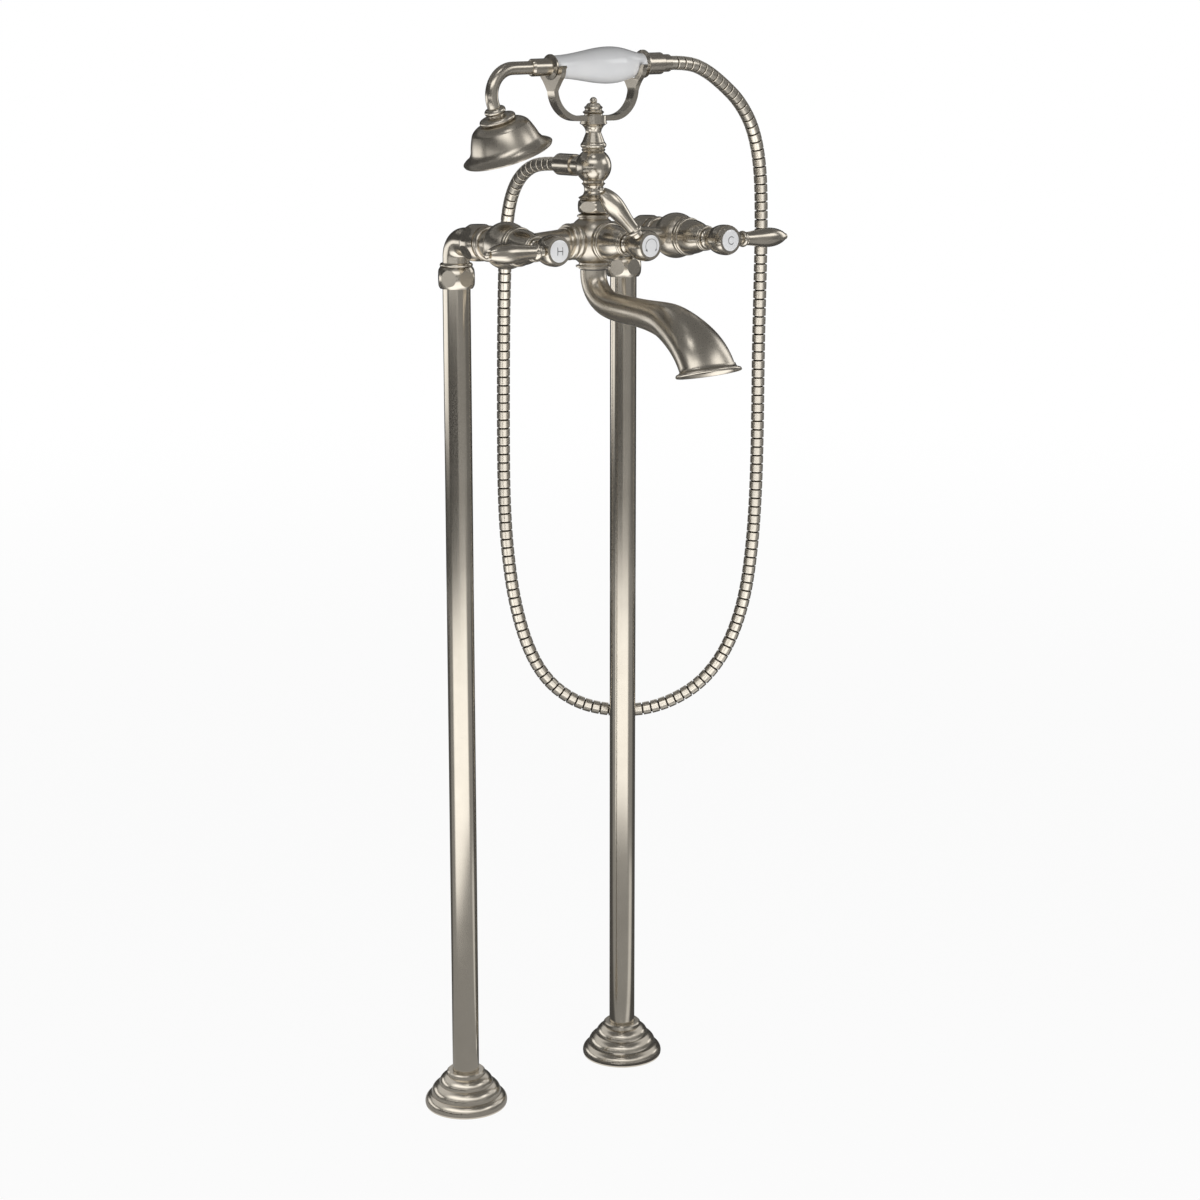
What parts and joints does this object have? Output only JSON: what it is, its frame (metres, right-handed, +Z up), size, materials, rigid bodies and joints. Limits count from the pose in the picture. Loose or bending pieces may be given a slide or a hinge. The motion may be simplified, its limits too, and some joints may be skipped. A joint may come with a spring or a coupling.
{
  "type": "tub filler",
  "caption": "Free-standing tub filler: two floor supply legs carry a lever mixer with a trumpet spout, a diverter, and a cradle that holds a hand shower on a ribbed hose.",
  "frame": {"origin": "on the floor, midway between the two supply legs", "axes": "+Z up; +X from the hot leg to the cold leg; the spout points to the front, along -Y"},
  "size_m": [0.4212, 0.3787, 1.0577],
  "materials": {
    "nickel": "satin nickel plate",
    "bare_brass": "machined",
    "hose_metal": "satin",
    "steel": "machined",
    "porcelain": "white glaze",
    "rubber": "matt"
  },
  "bodies": {
    "stand": {"hot_floor_flange": "bare_brass", "hot_floor_escutcheon": "nickel", "hot_supply_leg": "nickel", "hot_leg_nut": "nickel", "hot_elbow": "nickel", "hot_arm_nut": "nickel", "hot_valve_body": "nickel", "hot_cartridge": "bare_brass", "hot_bonnet": "nickel", "cold_floor_flange": "bare_brass", "cold_floor_escutcheon": "nickel", "cold_supply_leg": "nickel", "cold_leg_nut": "nickel", "cold_elbow": "nickel", "cold_arm_nut": "nickel", "cold_valve_body": "nickel", "cold_cartridge": "bare_brass", "cold_bonnet": "nickel", "escutcheon_o_rings": "rubber", "union_washers": "rubber", "cartridge_seals": "rubber", "manifold_body": "nickel", "diverter_cartridge": "bare_brass", "diverter_bonnet": "nickel", "spout": "nickel", "spout_gasket": "rubber", "riser_nut": "nickel", "riser_washer": "rubber", "cradle_post": "nickel", "cradle": "nickel", "cradle_finial": "nickel", "hose_inlet_nut": "nickel", "hose_inlet_washer": "rubber", "hose": "hose_metal"},
    "hot_handle": {"hot_stem": "bare_brass", "hot_handle_hub": "nickel", "hot_lever": "nickel", "hot_handle_screw": "steel", "hot_index_disc": "porcelain"},
    "cold_handle": {"cold_stem": "bare_brass", "cold_handle_hub": "nickel", "cold_lever": "nickel", "cold_handle_screw": "steel", "cold_index_disc": "porcelain"},
    "diverter_handle": {"diverter_stem": "bare_brass", "diverter_handle_hub": "nickel", "diverter_lever": "nickel", "diverter_handle_screw": "steel", "diverter_index_disc": "porcelain"},
    "hand_shower": {"handset_grip": "porcelain", "handset_neck": "nickel", "handset_front_ferrule": "nickel", "handset_rear_ferrule": "nickel", "head_collar": "nickel", "shower_bell": "nickel", "spray_plate": "nickel", "spray_nozzles": "rubber", "hose_outlet_nut": "nickel", "hose_outlet_washer": "rubber"}
  },
  "joints": [
    {"name": "hot_handle_turn", "type": "hinge", "parent": "stand", "child": "hot_handle", "pos_m": [-0.1016, -0.15, 0.8776], "axis": [0, -1, 0], "range_deg": [0, 90]},
    {"name": "cold_handle_turn", "type": "hinge", "parent": "stand", "child": "cold_handle", "pos_m": [0.1016, -0.15, 0.8776], "axis": [0, 1, 0], "range_deg": [0, 90]},
    {"name": "diverter_turn", "type": "hinge", "parent": "stand", "child": "diverter_handle", "pos_m": [0, -0.155, 0.8776], "axis": [0, 1, 0], "range_deg": [0, 90]},
    {"name": "hand_shower_lift", "type": "slide", "parent": "stand", "child": "hand_shower", "axis": [0, 0, 1], "range_m": [0, 0.12]}
  ]
}
